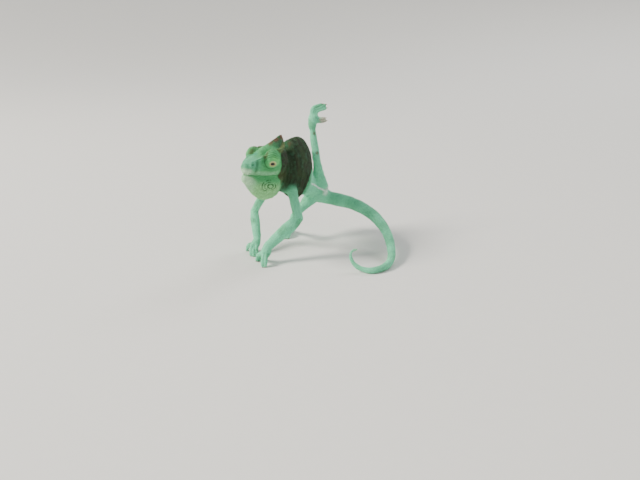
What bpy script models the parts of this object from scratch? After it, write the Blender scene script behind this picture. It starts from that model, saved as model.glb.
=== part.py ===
"""Young veiled chameleon, life size, in one still climbing stance.

The body is made whole and then parted with thin cuts, one named node for each part of the animal.
All sizes below are in millimetres: x to the animal's left, y to its rear, z up from the floor.
Blender gets metres.
"""

import math

import bmesh
import bpy
import numpy as np
from mathutils import Matrix, Vector
from mathutils.bvhtree import BVHTree

MM = 0.001

# ---- driving dimensions ----
CENTRE = (8.12, -1.51)  # middle of the model's footprint, which becomes the origin
GAP = 0.3  # width of every cut between two nodes
SKIN_CELL = 0.34  # fineness of the body's surface before it is thinned out
BODY_TRIANGLES = 12000  # before it is parted
PART_SHARE = 0.42  # of its triangles that each part keeps
FLOOR_SINK = 3.0  # depth of the block that planes the soles flat

HEAD_YAW = -8.0  # degrees, to the animal's right
HEAD_PITCH = -13.0  # degrees, nose up
HEAD_ROLL = 2.0  # degrees, right side up
EYE_SPAN = 9.4  # between the centres of the two eye turrets
TURRET = (2.9, 3.7, 3.8)  # half axes of a turret: sideways, lengthways, upright
EYEBALL = 1.9
EYEBALL_DEPTH = 1.65  # centre of the eyeball under the turret's tip
SOCKET = EYEBALL + 0.25
LEFT_GAZE = (0.64, -0.55, -0.85)  # where each eye looks, in the head's frame
RIGHT_GAZE = (-0.78, -0.55, -0.10)

DIGIT = 1.15  # radius of a digit where it leaves the palm
DIGIT_TIP = 0.84
DIGIT_PITCH = 1.36  # between two digits of one bundle
CLAW = 0.42
CLAW_LENGTH = 1.1

# ---- where the skeleton's joints lie ----
EYES = (-7.8, -22.4, 44.7)  # midway between the eyes

# each leg: its root, its bend (elbow or knee) and its wrist or ankle
LEGS = {
    "left_front": ((-3.6, -7.6, 32.4), (1.6, -10.4, 17.2), (-7.2, -21.3, 7.2)),
    "right_front": ((-13.4, -8.0, 30.0), (-24.0, -3.0, 15.8), (-18.0, -11.2, 5.6)),
    "left_hind": ((-3.4, 22.4, 23.3), (-4.2, 19.2, 38.4), (-7.0, 21.0, 50.9)),
    "right_hind": ((-7.4, 21.4, 18.8), (-10.2, 9.2, 12.4), (-17.4, 18.6, 4.2)),
}
# each leg's radius at its root, upper muscle, bend, lower muscle and wrist or ankle
LEG_RADII = {
    "left_front": (2.5, 2.2, 2.1, 2.8, 2.15),
    "right_front": (2.4, 2.0, 1.8, 2.1, 1.7),
    "left_hind": (3.8, 2.8, 1.9, 1.8, 1.4),
    "right_hind": (3.4, 2.6, 1.9, 1.8, 1.3),
}

# ---- lengthways tables: x, y, z, half width, half height, roll in degrees ----
TRUNK = (
    (-7.0, -13.5, 39.2, 4.2, 6.4, 0),
    (-6.6, -8.5, 37.0, 5.4, 9.2, 0),
    (-6.2, -3.0, 36.8, 6.0, 12.2, 0),
    (-6.4, 3.0, 35.8, 6.2, 13.4, 0),
    (-7.2, 8.5, 33.8, 5.9, 12.5, -8),
    (-8.4, 13.5, 29.4, 5.0, 9.6, -24),
    (-8.2, 18.0, 25.0, 4.5, 6.8, -46),
    (-6.4, 22.5, 21.2, 4.3, 5.2, -64),
    (-4.4, 26.0, 19.0, 4.0, 4.4, -70),
)
TAIL = (
    (-5.2, 24.6, 19.8, 3.9, 4.2, -70),
    (-1.6, 28.0, 17.4, 3.2, 3.6, -70),
    (4.6, 28.8, 16.4, 3.0, 3.3, -60),
    (10.4, 28.0, 15.8, 2.8, 3.0, -50),
    (17.2, 25.7, 14.4, 2.6, 2.8, -40),
    (24.7, 21.4, 12.0, 2.35, 2.5, -30),
    (32.2, 13.9, 8.4, 2.05, 2.15, -20),
    (37.8, 4.6, 4.5, 1.8, 1.9, -10),
    (40.2, -3.6, 2.1, 1.65, 1.75, 0),
    (39.6, -10.4, 1.45, 1.5, 1.6, 0),
    (36.6, -15.2, 1.25, 1.35, 1.42, 0),
    (32.6, -16.0, 1.6, 1.2, 1.2, 0),
    (29.2, -15.6, 3.0, 1.02, 1.02, 0),
    (27.2, -14.8, 5.4, 0.86, 0.86, 0),
    (27.3, -13.6, 7.6, 0.72, 0.72, 0),
    (28.9, -12.6, 8.3, 0.6, 0.6, 0),
)
TAIL_CUTS = (1, 3, 4, 5, 6, 8, 11)  # rows of the tail at which it is parted

# ---- head tables, in the head's frame: back from the eyes, centre height,
#      half width, reach up, reach down, how pinched the top is ----
SKULL = (
    (-10.4, -5.0, 1.9, 2.0, 2.4, 0.85),
    (-9.4, -4.9, 2.8, 3.0, 2.9, 0.8),
    (-7.0, -4.4, 3.3, 3.8, 3.8, 0.75),
    (-4.0, -3.4, 3.8, 4.4, 5.2, 0.7),
    (-1.0, -2.6, 4.4, 5.8, 6.6, 0.65),
    (2.0, -1.7, 5.0, 6.0, 8.0, 0.65),
    (5.0, -1.2, 5.5, 6.4, 8.6, 0.7),
    (8.0, -0.9, 5.4, 6.6, 8.2, 0.8),
    (11.0, -0.6, 4.4, 5.6, 7.0, 0.9),
    (13.0, -0.6, 2.8, 3.6, 5.0, 1.0),
)
JAW = (
    (-10.0, -8.9, 1.5, 1.2, 1.8, 1.0),
    (-8.8, -9.1, 2.5, 1.8, 2.3, 1.0),
    (-6.0, -9.5, 3.3, 2.2, 3.0, 1.0),
    (-2.0, -9.8, 4.2, 2.6, 4.0, 1.0),
    (2.0, -9.9, 5.0, 3.2, 4.8, 1.0),
    (6.0, -9.4, 5.2, 3.6, 5.0, 1.0),
    (9.0, -8.4, 4.4, 3.2, 4.6, 1.0),
    (12.0, -7.0, 2.8, 2.6, 3.2, 1.0),
)
POUCH = (
    (-8.4, -10.4, 1.0, 1.0, 1.6, 1.0),
    (-5.4, -11.2, 2.0, 1.6, 2.8, 1.0),
    (-1.6, -12.0, 2.8, 2.2, 3.8, 1.0),
    (3.0, -12.2, 3.4, 2.4, 4.8, 1.0),
    (7.4, -12.0, 3.4, 2.4, 4.8, 1.0),
    (11.0, -11.0, 2.8, 2.4, 4.2, 1.0),
    (13.4, -9.6, 1.8, 2.0, 2.6, 1.0),
)
CASQUE = (
    (-2.4, 2.0, 1.6, 0.9, 1.2, 1.2),
    (0.4, 2.4, 2.3, 2.2, 2.2, 1.6),
    (3.4, 3.0, 2.9, 3.4, 3.2, 2.1),
    (6.4, 3.6, 3.0, 4.6, 3.6, 2.5),
    (9.0, 4.0, 2.7, 5.8, 4.0, 2.7),
    (10.6, 4.0, 2.2, 6.0, 4.0, 2.7),
    (12.2, 3.2, 1.5, 4.4, 3.6, 2.2),
    (13.8, 2.0, 0.9, 2.6, 2.2, 1.4),
)
LIPS = ((-14, -7.6), (-8, -7.6), (0, -7.2), (7, -6.2), (12.2, -5.0))  # back, up
LIPS_HALF = 9.0  # half width of the cut along the lips
# left brow ridge, from the nostril over the eye to the casque: side, back, up, radius
BROW = (
    (1.7, -9.4, -2.7, 0.5),
    (2.9, -6.6, -1.3, 0.6),
    (3.7, -3.6, 0.5, 0.7),
    (4.3, -0.8, 2.3, 0.8),
    (4.6, 2.0, 3.2, 0.8),
    (4.5, 5.0, 3.6, 0.75),
    (3.7, 7.6, 4.8, 0.65),
    (2.3, 9.8, 6.6, 0.55),
)

# ---- cuts that part the body: a point on the cut, the way across it, half width, half height ----
HEAD_CUTS = (  # in the head's frame
    ((0, 5.2, 4.0), (0, 0.36, 1), 9.0, 8.6),  # under the casque
    ((0, 12.2, -5), (0, 1, -0.15), 9.0, 15.0),  # behind the jaw
)
TRUNK_CUTS = (
    ((-6.6, -8.2, 38.5), (0, 1, -0.35), 8.5, 15.0),  # behind the neck
    ((-7.2, 8.2, 33.6), (0, 1, 0), 8.5, 15.4),  # behind the ribs' middle
)
# how far down the upper limb it leaves the trunk, and the half width of the limb's cuts
LIMB_CUTS = {
    "left_front": (0.5, 2.9),
    "right_front": (0.36, 2.9),
    "left_hind": (0.64, 2.9),
    "right_hind": (0.55, 3.4),
}
BEND_CUT = 0.04  # places of the cuts on the lower limb
FOOT_CUT = 0.93
FOOT_CUT_HALF = 2.8
TOES_CUT = 0.9  # from the digits' roots to their knuckles
TOES_CUT_HALF = 3.0
TAIL_CUT_SPARE = 1.2  # that a cut reaches past the tail's own half width

GREEN = "4FA566"
MINT = "82D0AC"
DARK_GREEN = "2C4526"
LIME = "86C27E"
BROWN_GREEN = "4A6B44"
GOLD = "C9A95A"


def smooth_rows(rows, steps):
    """Catmull-Rom through the rows of a table, all columns alike."""
    rows = np.array(rows, float)
    padded = np.vstack([2 * rows[0] - rows[1], rows, 2 * rows[-1] - rows[-2]])
    made = []
    for i in range(len(rows) - 1):
        a, b, c, d = padded[i : i + 4]
        for step in range(steps):
            t = step / steps
            made.append(
                0.5 * (2 * b + (c - a) * t + (2 * a - 5 * b + 4 * c - d) * t**2)
                + 0.5 * (3 * b - a - 3 * c + d) * t**3
            )
    made.append(rows[-1])
    return np.array(made)


def add_skin(bm, rings):
    """Close a row of equal rings into one body, with a point in the middle of each end."""
    made = [[bm.verts.new(point) for point in ring] for ring in rings]
    sides = len(made[0])
    for low, high in zip(made, made[1:]):
        for i in range(sides):
            j = (i + 1) % sides
            bm.faces.new((low[i], low[j], high[j], high[i]))
    for ring, flip in ((made[0], True), (made[-1], False)):
        middle = sum((v.co for v in ring), Vector()) / sides
        tip = bm.verts.new(middle)
        for i in range(sides):
            j = (i + 1) % sides
            corners = (ring[j], ring[i], tip) if flip else (ring[i], ring[j], tip)
            bm.faces.new(corners)


def add_tube(bm, rows, steps=4, sides=20):
    """A round-ended tube along rows of x, y, z, half width, half height, roll."""
    rows = smooth_rows(rows, steps)
    places = [Vector(row[:3]) for row in rows]
    along = [
        (places[min(i + 1, len(places) - 1)] - places[max(i - 1, 0)]).normalized()
        for i in range(len(places))
    ]
    up = Vector((0, 0, 1)) if abs(along[0].z) < 0.8 else Vector((0, -1, 0))
    rings = []
    for i, row in enumerate(rows):
        up = (up - along[i] * up.dot(along[i])).normalized()
        side = along[i].cross(up)
        turn = Matrix.Rotation(math.radians(row[5]), 3, along[i])
        ring_up = turn @ up
        ring_side = turn @ side
        ends = ((0.0, 1.0),)
        if i == 0:
            ends = ((-0.85, 0.5), (-0.5, 0.85), (0.0, 1.0))
        if i == len(rows) - 1:
            ends = ((0.0, 1.0), (0.5, 0.85), (0.85, 0.5))
        for push, shrink in ends:
            centre = places[i] + along[i] * push * min(row[3], row[4])
            ring = []
            for k in range(sides):
                angle = 2 * math.pi * k / sides
                across = ring_side * math.cos(angle) * row[3] * shrink
                ring.append(centre + across + ring_up * math.sin(angle) * row[4] * shrink)
            rings.append(ring)
    add_skin(bm, rings)


def head_frame():
    turn = Matrix.Rotation(math.radians(HEAD_YAW), 4, "Z")
    turn @= Matrix.Rotation(math.radians(HEAD_PITCH), 4, "X")
    turn @= Matrix.Rotation(math.radians(HEAD_ROLL), 4, "Y")
    return Matrix.Translation(EYES) @ turn


HEAD = head_frame()


def add_head_form(bm, rows, steps=4, sides=28):
    """A form of the head, whose upright rings stand across the line of the nose."""
    rows = smooth_rows(rows, steps)
    rings = []
    last = len(rows) - 1
    for i, (back, height, half, reach_up, reach_down, pinch) in enumerate(rows):
        ends = ((0.0, 1.0),)
        if i in (0, last):
            ends = ((0.0, 1.0), (0.35, 0.88), (0.6, 0.6))
        if i == 0:
            ends = ends[::-1]
        for push, shrink in ends:
            offset = push * half * (-1 if i == 0 else 1)
            ring = []
            for k in range(sides):
                angle = -2 * math.pi * k / sides
                wide = math.cos(angle)
                tall = math.sin(angle)
                narrow = abs(wide) ** pinch if tall > 0 else abs(wide)
                x = math.copysign(narrow, wide) * half * shrink
                z = height + tall * shrink * (reach_up if tall > 0 else reach_down)
                ring.append(HEAD @ Vector((x, back + offset, z)))
            rings.append(ring)
    add_skin(bm, rings)


def add_head(bm):
    for rows in (SKULL, JAW, POUCH, CASQUE):
        add_head_form(bm, rows)
    for mirror in (1, -1):
        ridge = []
        for side, back, height, radius in BROW:
            place = HEAD @ Vector((mirror * side, back, height))
            ridge.append((*place, radius, radius, 0))
        add_tube(bm, ridge, sides=12)


def limb_rows(*stations):
    """Rows for a round limb from pairs of place and radius."""
    return [(*place, radius, radius, 0) for place, radius in stations]


def between(a, b, t):
    return tuple(Vector(a).lerp(Vector(b), t))


def add_limb(bm, limb):
    """Upper and lower limb as two tubes, with the muscle in their upper halves."""
    top, bend, end = LEGS[limb]
    root, upper, joint, lower, wrist = LEG_RADII[limb]
    add_tube(
        bm,
        limb_rows(
            (top, root),
            (between(top, bend, 0.35), upper),
            (between(top, bend, 0.8), joint),
            (bend, joint),
        ),
    )
    add_tube(
        bm,
        limb_rows(
            (bend, joint),
            (between(bend, end, 0.3), lower),
            (between(bend, end, 0.7), (lower + wrist) / 2),
            (end, wrist),
        ),
    )


# Each foot: where its palm is, the palm's radius, and two bundles of digits, each with the
# number of digits, the place of the middle tip, the way the digits lie side by side, and how
# far the bundle bows out of its straight line.
FEET = {
    "left_front": (
        (-7.4, -22.9, 4.6),
        2.2,
        (
            ("outer_toes", 2, (-5.8, -27.4, 0.45), (1.0, 0.25, 0.0), (0.4, -1.2, 0.8)),
            ("inner_toes", 3, (-12.2, -21.0, 0.45), (-0.45, -0.9, 0.0), (-1.0, 0.2, 1.0)),
        ),
    ),
    "right_front": (
        (-18.6, -12.4, 3.6),
        2.0,
        (
            ("outer_toes", 2, (-23.6, -11.2, 0.45), (0.35, -0.9, 0.0), (-1.2, 0.0, 1.0)),
            ("inner_toes", 3, (-16.6, -17.2, 0.45), (1.0, 0.35, 0.0), (0.3, -1.0, 1.0)),
        ),
    ),
    "left_hind": (
        (-7.3, 23.0, 54.9),
        2.3,
        (
            ("outer_toes", 3, (-3.1, 26.0, 60.3), (-0.64, -0.3, 0.7), (-2.0, -0.9, 1.3)),
            ("inner_toes", 2, (-2.1, 24.6, 54.0), (-0.35, -0.1, 0.9), (-0.3, 0.0, -1.0)),
        ),
    ),
    "right_hind": (
        (-17.4, 17.4, 2.3),
        1.9,
        (
            ("outer_toes", 3, (-19.4, 23.4, 0.5), (1.0, 0.3, 0.0), (-0.4, 0.8, 1.0)),
            ("inner_toes", 2, (-15.4, 11.0, 0.5), (1.0, 0.3, 0.0), (0.3, -0.8, 1.0)),
        ),
    ),
}


def digit_routes(foot, bundle):
    """The middle line of each digit of a bundle, as root, knuckle, tip and claw point."""
    palm = FEET[foot][0]
    _, count, tip, across, bow = bundle
    palm, tip, bow = Vector(palm), Vector(tip), Vector(bow)
    across = Vector(across).normalized()
    routes = []
    for i in range(count):
        shift = across * DIGIT_PITCH * (i - (count - 1) / 2)
        shorter = 0.12 * abs(i - (count - 1) / 2)
        root = palm + shift * 0.5
        end = tip.lerp(palm, shorter) + shift * 0.9
        knuckle = (root + end) / 2 + bow * 0.75
        reach = (end - knuckle).normalized()
        point = end + reach * CLAW_LENGTH - bow.normalized() * 0.25
        routes.append((root, knuckle, end, point))
    return routes


def add_feet(bm):
    for foot, (palm, radius, bundles) in FEET.items():
        wrist = LEGS[foot][2]
        rows = limb_rows(
            (wrist, radius * 0.82), (between(wrist, palm, 0.6), radius), (palm, radius)
        )
        add_tube(bm, rows)
        for bundle in bundles:
            for root, knuckle, end, point in digit_routes(foot, bundle):
                rows = limb_rows(
                    (root, DIGIT * 1.1), (knuckle, DIGIT), (end, DIGIT_TIP)
                )
                add_tube(bm, rows, sides=12)
                claw = limb_rows((end, CLAW), (end.lerp(point, 0.6), CLAW * 0.7), (point, 0.16))
                add_tube(bm, claw, sides=8)


def mesh_object(name, bm):
    bmesh.ops.scale(bm, vec=(MM, MM, MM), verts=bm.verts)
    mesh = bpy.data.meshes.new(name)
    bm.to_mesh(mesh)
    bm.free()
    obj = bpy.data.objects.new(name, mesh)
    bpy.context.scene.collection.objects.link(obj)
    return obj


def bake(obj):
    """Turn the object's modifiers into its mesh."""
    bpy.context.view_layer.update()
    graph = bpy.context.evaluated_depsgraph_get()
    mesh = bpy.data.meshes.new_from_object(obj.evaluated_get(graph))
    obj.modifiers.clear()
    obj.data = mesh


def boolean(obj, operation, other):
    cut = obj.modifiers.new(operation.title(), "BOOLEAN")
    cut.operation = operation
    cut.solver = "EXACT"
    cut.use_self = True
    cut.object = other
    bake(obj)
    bpy.data.objects.remove(other)


def whole_body():
    """Every form of flesh melted into one skin."""
    bm = bmesh.new()
    add_tube(bm, TRUNK, sides=32)
    add_tube(bm, TAIL)
    add_head(bm)
    for limb in LEGS:
        add_limb(bm, limb)
    add_feet(bm)
    body = mesh_object("body", bm)
    melt = body.modifiers.new("Melt", "REMESH")
    melt.mode = "VOXEL"
    melt.voxel_size = SKIN_CELL * MM
    soften = body.modifiers.new("Soften", "SMOOTH")
    soften.factor = 0.5
    soften.iterations = 6
    bake(body)
    faces = 2 * len(body.data.polygons)
    thin = body.modifiers.new("Thin", "DECIMATE")
    thin.ratio = BODY_TRIANGLES / faces
    bake(body)
    return body


def add_slab(bm, centre, along, half, half_up=None, up=None):
    """A thin plate across the direction along."""
    along = Vector(along).normalized()
    up = Vector(up) if up else Vector((0, 0, 1)) if abs(along.z) < 0.8 else Vector((0, 1, 0))
    side = up.cross(along).normalized()
    up = along.cross(side)
    half_up = half_up or half
    frame = Matrix((side, up, along)).transposed().to_4x4()
    frame.translation = centre
    size = Matrix.Diagonal((2 * half, 2 * half_up, GAP, 1))
    bmesh.ops.create_cube(bm, size=1.0, matrix=frame @ size)


def ellipsoid(bm, place, axes, frame, detail=3):
    matrix = frame @ Matrix.Translation(place) @ Matrix.Diagonal((*axes, 1))
    bmesh.ops.create_icosphere(bm, subdivisions=detail, radius=1.0, matrix=matrix)


def floor_block():
    bm = bmesh.new()
    matrix = Matrix.Translation((*CENTRE, -FLOOR_SINK / 2)) @ Matrix.Diagonal((90, 90, FLOOR_SINK, 1))
    bmesh.ops.create_cube(bm, size=1.0, matrix=matrix)
    return mesh_object("floor_block", bm)


def orbits():
    """Hollows in the head that hold the turrets."""
    bm = bmesh.new()
    for side in (1, -1):
        place = (side * EYE_SPAN / 2, 0, 0)
        ellipsoid(bm, place, [axis + GAP for axis in TURRET], HEAD)
    return mesh_object("orbits", bm)


def add_mouth_cut(bm):
    """A thin bent sheet along the lips and down behind the jaw."""
    rows = [Vector((0, y, z)) for y, z in LIPS]
    normals = []
    for i in range(len(rows)):
        run = rows[min(i + 1, len(rows) - 1)] - rows[max(i - 1, 0)]
        normals.append(Vector((0, -run.z, run.y)).normalized() * GAP / 2)
    rings = []
    for row, normal in zip(rows, normals):
        corners = []
        for side, lift in ((-1, 1), (1, 1), (1, -1), (-1, -1)):
            corners.append(HEAD @ (row + Vector((side * LIPS_HALF, 0, 0)) + normal * lift))
        rings.append([bm.verts.new(corner) for corner in corners])
    for low, high in zip(rings, rings[1:]):
        for i in range(4):
            j = (i + 1) % 4
            bm.faces.new((low[i], low[j], high[j], high[i]))
    bm.faces.new(rings[0][::-1])
    bm.faces.new(rings[-1])


def head_vector(x, y, z):
    return HEAD.to_3x3() @ Vector((x, y, z))


def cuts():
    """All the thin plates that part the body."""
    bm = bmesh.new()
    add_mouth_cut(bm)
    for place, along, half, half_up in HEAD_CUTS:
        upright = head_vector(0, 1, 0) if along[2] > along[1] else None
        add_slab(bm, HEAD @ Vector(place), head_vector(*along), half, half_up, upright)
    for place, along, half, half_up in TRUNK_CUTS:
        add_slab(bm, place, along, half, half_up)
    tail = np.array(TAIL)
    for row in TAIL_CUTS:
        run = Vector(tail[row + 1][:3] - tail[row - 1][:3])
        add_slab(bm, tail[row][:3], run, tail[row][3] + TAIL_CUT_SPARE)
    for limb, (top, bend, end) in LEGS.items():
        share, half = LIMB_CUTS[limb]
        upper = Vector(bend) - Vector(top)
        lower = Vector(end) - Vector(bend)
        turned = Vector(FEET[limb][0]) - Vector(between(bend, end, 0.8))
        add_slab(bm, between(top, bend, share), upper, half)
        add_slab(bm, between(bend, end, BEND_CUT), upper.normalized() + lower.normalized(), half)
        add_slab(bm, between(bend, end, FOOT_CUT), turned, FOOT_CUT_HALF)
    for foot, (_, _, bundles) in FEET.items():
        for bundle in bundles:
            routes = digit_routes(foot, bundle)
            root = sum((route[0].lerp(route[1], TOES_CUT) for route in routes), Vector())
            run = sum((route[2] - route[0] for route in routes), Vector())
            half_up = 0.8 * len(routes) + 1.6  # the digits' breadth and a little more
            add_slab(bm, root / len(routes), run, TOES_CUT_HALF, half_up, Vector(bundle[3]))
    return mesh_object("cuts", bm)


def named_places():
    """A place inside each part, which tells its name."""
    places = {
        "head": HEAD @ Vector((0, -4, -3)),
        "casque": HEAD @ Vector((0, 9, 6.5)),
        "lower_jaw": HEAD @ Vector((0, -2, -10)),
        "neck": (-7.0, -9.6, 40),
        "trunk_front": (-7, 2, 35),
        "trunk_rear": (-7, 16, 27),
    }
    edges = (0, *TAIL_CUTS, len(TAIL) - 1)
    tail = smooth_rows(TAIL, 2)
    for i, (low, high) in enumerate(zip(edges, edges[1:])):
        middle = low + high
        if i:
            places[f"tail_{i}"] = tail[middle][:3]
    for limb, (top, bend, end) in LEGS.items():
        upper, lower = ("upper_arm", "forearm") if "front" in limb else ("thigh", "shin")
        places[f"{limb}_{upper}"] = between(top, bend, 0.75)
        places[f"{limb}_{lower}"] = between(bend, end, 0.5)
        places[f"{limb}_foot"] = FEET[limb][0]
        for bundle in FEET[limb][2]:
            routes = digit_routes(limb, bundle)
            places[f"{limb}_{bundle[0]}"] = routes[0][1].lerp(routes[0][2], 0.5)
    return places


def islands_of(bm):
    """The separate bodies of a mesh, as sets of face numbers."""
    bm.faces.index_update()
    bm.faces.ensure_lookup_table()
    left = set(range(len(bm.faces)))
    islands = []
    while left:
        start = left.pop()
        found = {start}
        edge = [start]
        while edge:
            face = bm.faces[edge.pop()]
            for side in face.edges:
                for other in side.link_faces:
                    if other.index in left:
                        left.discard(other.index)
                        found.add(other.index)
                        edge.append(other.index)
        islands.append(found)
    return islands


def part_body(body):
    """One object for each body that the cuts leave, named by the place inside it.

    The slivers that a cut leaves hold no such place and are dropped.
    """
    bm = bmesh.new()
    bm.from_mesh(body.data)
    bmesh.ops.triangulate(bm, faces=bm.faces)
    islands = islands_of(bm)
    owner = {face: n for n, island in enumerate(islands) for face in island}
    tree = BVHTree.FromBMesh(bm)
    names = {}
    for name, place in named_places().items():
        _, _, face, _ = tree.find_nearest(Vector(place) * MM)
        names[owner[face]] = name
    parts = []
    for n, name in names.items():
        piece = bm.copy()
        piece.faces.index_update()
        spare = [face for face in piece.faces if owner[face.index] != n]
        bmesh.ops.delete(piece, geom=spare, context="FACES")
        mesh = bpy.data.meshes.new(name)
        piece.to_mesh(mesh)
        piece.free()
        obj = bpy.data.objects.new(name, mesh)
        bpy.context.scene.collection.objects.link(obj)
        thin = obj.modifiers.new("Thin", "DECIMATE")
        thin.ratio = PART_SHARE
        bake(obj)
        parts.append(obj)
    bm.free()
    bpy.data.objects.remove(body)
    return parts


def eyes():
    """Two turrets of fused lids, each with a ball behind its small opening."""
    made = []
    for name, side, gaze in (("left", 1, LEFT_GAZE), ("right", -1, RIGHT_GAZE)):
        centre = Vector((side * EYE_SPAN / 2, 0, 0))
        gaze = Vector(gaze).normalized()
        reach = 1 / math.sqrt(sum((g / axis) ** 2 for g, axis in zip(gaze, TURRET)))
        ball = centre + gaze * (reach - EYEBALL_DEPTH)
        bm = bmesh.new()
        ellipsoid(bm, centre, TURRET, HEAD)
        turret = mesh_object(f"{name}_eye_turret", bm)
        bm = bmesh.new()
        ellipsoid(bm, ball, (SOCKET,) * 3, HEAD)
        boolean(turret, "DIFFERENCE", mesh_object("socket", bm))
        bm = bmesh.new()
        ellipsoid(bm, ball, (EYEBALL,) * 3, HEAD)
        made += [turret, mesh_object(f"{name}_eyeball", bm)]
    return made


def linear(hex_colour):
    """Linear RGBA of an sRGB hex colour."""
    made = []
    for i in (0, 2, 4):
        c = int(hex_colour[i : i + 2], 16) / 255
        made.append(c / 12.92 if c <= 0.04045 else ((c + 0.055) / 1.055) ** 2.4)
    return (*made, 1.0)


def colour_of(name):
    if "eyeball" in name:
        return GOLD
    if name == "casque":
        return BROWN_GREEN
    if name == "lower_jaw":
        return LIME
    if name in ("head", "neck") or "turret" in name:
        return GREEN
    if "trunk" in name:
        return DARK_GREEN
    return MINT


def finish(obj):
    material = bpy.data.materials.new(obj.name)
    material.use_nodes = True
    shader = material.node_tree.nodes["Principled BSDF"]
    shader.inputs["Base Color"].default_value = linear(colour_of(obj.name))
    shader.inputs["Roughness"].default_value = 0.15 if "eyeball" in obj.name else 0.6
    shader.inputs["Metallic"].default_value = 0.0
    obj.data.materials.clear()
    obj.data.materials.append(material)
    obj.data.shade_smooth()
    obj.data.set_sharp_from_angle(angle=math.radians(50))
    obj.data.transform(Matrix.Translation((-CENTRE[0] * MM, -CENTRE[1] * MM, 0)))


def main():
    for obj in list(bpy.data.objects):
        bpy.data.objects.remove(obj)
    body = whole_body()
    boolean(body, "DIFFERENCE", floor_block())
    boolean(body, "DIFFERENCE", orbits())
    boolean(body, "DIFFERENCE", cuts())
    for obj in part_body(body) + eyes():
        finish(obj)


main()
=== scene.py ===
"""Looks of the young veiled chameleon: one skin over all its parts, with every scale a solid dome on it.

Sizes are in millimetres in the model's own frame: x to the animal's left, y to its rear, z up.
"""

import math

import bmesh
import bpy
import numpy as np
from mathutils import Matrix, Vector
from mathutils.bvhtree import BVHTree
from mathutils.kdtree import KDTree


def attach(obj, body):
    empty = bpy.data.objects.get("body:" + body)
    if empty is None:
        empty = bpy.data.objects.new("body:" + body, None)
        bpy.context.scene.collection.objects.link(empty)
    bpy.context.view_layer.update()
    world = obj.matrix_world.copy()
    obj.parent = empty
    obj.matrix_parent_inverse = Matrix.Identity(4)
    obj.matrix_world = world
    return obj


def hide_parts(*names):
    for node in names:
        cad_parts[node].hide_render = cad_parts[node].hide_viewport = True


MM = 0.001
TURN = 2 * math.pi
SIDES = {"left": 1, "right": -1}  # which way each side lies in the head's frame

# ---- skin and scales ----
SKIN_CELL = 0.27  # fineness of the skin
SWELL = 0.22  # closes the gaps between the parts before they melt together
COAT = 0.15  # depth of the scales, by which the skin lies inside the solids
DOME = 0.30  # height of a scale over its width
GROOVE = 0.94  # share of its cell that a scale fills
CORNERS = 8  # of a scale's outline
RIM_DEPTH = 0.07  # how deep a scale's rim lies in the skin
SHOULDER = 0.74  # how far out and up a scale's shoulder lies, as a share of its width and height
HEX_CELL = 0.866  # area of a scale's cell over its width squared
CROWD = 2.6  # places tried for each scale that grows
CLOSEST = 0.78  # least distance between two scales over their width
LARGEST_PIECE = 7800  # scales in one joined mesh
BAKE_PATCH = 0.003

# ---- skeleton, as the solids have it ----
CENTRE = (8.12, -1.51)
EYES = (-7.8, -22.4, 44.7)
HEAD_YAW, HEAD_PITCH, HEAD_ROLL = -8.0, -13.0, 2.0
EYE_SPAN = 9.4
TURRET = (2.9, 3.7, 3.8)
BALL_DEPTH = 1.65
GAZES = {"left": (0.64, -0.55, -0.85), "right": (-0.78, -0.55, -0.10)}
LID_OPENING = 1.0  # radius of the round opening between the fused lids
LID_RIM = 0.42  # width of the bare rim round it
EYE_RADIUS = 1.46
PUPIL = 0.84
IRIS = 1.10
# the turret's foot and the folds round it, in shares of the turret's own size
ORBIT_CREASE = 1.10
ORBIT_FOLDS = 1.22
ORBIT_FOLD_STEP = 0.155

TRUNK = (
    (-7.0, -13.5, 39.2, 5.2, 0),
    (-6.6, -8.5, 37.0, 7.2, 0),
    (-6.2, -3.0, 36.8, 8.6, 0),
    (-6.4, 3.0, 35.8, 9.0, 0),
    (-7.2, 8.5, 33.8, 8.6, -8),
    (-8.4, 13.5, 29.4, 7.0, -24),
    (-8.2, 18.0, 25.0, 5.4, -46),
    (-6.4, 22.5, 21.2, 4.7, -64),
    (-4.4, 26.0, 19.0, 4.2, -70),
)
TAIL = (
    (-5.2, 24.6, 19.8, 4.0, -70),
    (-1.6, 28.0, 17.4, 3.4, -70),
    (4.6, 28.8, 16.4, 3.1, -60),
    (10.4, 28.0, 15.8, 2.9, -50),
    (17.2, 25.7, 14.4, 2.7, -40),
    (24.7, 21.4, 12.0, 2.4, -30),
    (32.2, 13.9, 8.4, 2.1, -20),
    (37.8, 4.6, 4.5, 1.85, -10),
    (40.2, -3.6, 2.1, 1.7, 0),
    (39.6, -10.4, 1.45, 1.55, 0),
    (36.6, -15.2, 1.25, 1.4, 0),
    (32.6, -16.0, 1.6, 1.2, 0),
    (29.2, -15.6, 3.0, 1.02, 0),
    (27.2, -14.8, 5.4, 0.86, 0),
    (27.3, -13.6, 7.6, 0.72, 0),
    (28.9, -12.6, 8.3, 0.6, 0),
)
# each leg: root, bend, end and palm
LEGS = {
    "left_front": ((-3.6, -7.6, 32.4), (1.6, -10.4, 17.2), (-7.2, -21.3, 7.2), (-7.4, -22.9, 4.6)),
    "right_front": ((-13.4, -8.0, 30.0), (-24.0, -3.0, 15.8), (-18.0, -11.2, 5.6), (-18.6, -12.4, 3.6)),
    "left_hind": ((-3.4, 22.4, 23.3), (-4.2, 19.2, 38.4), (-7.0, 21.0, 50.9), (-7.3, 23.0, 54.9)),
    "right_hind": ((-7.4, 21.4, 18.8), (-10.2, 9.2, 12.4), (-17.4, 18.6, 4.2), (-17.4, 17.4, 2.3)),
}
LEG_RADII = {"left_front": 2.4, "right_front": 2.0, "left_hind": 2.3, "right_hind": 2.2}
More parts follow.
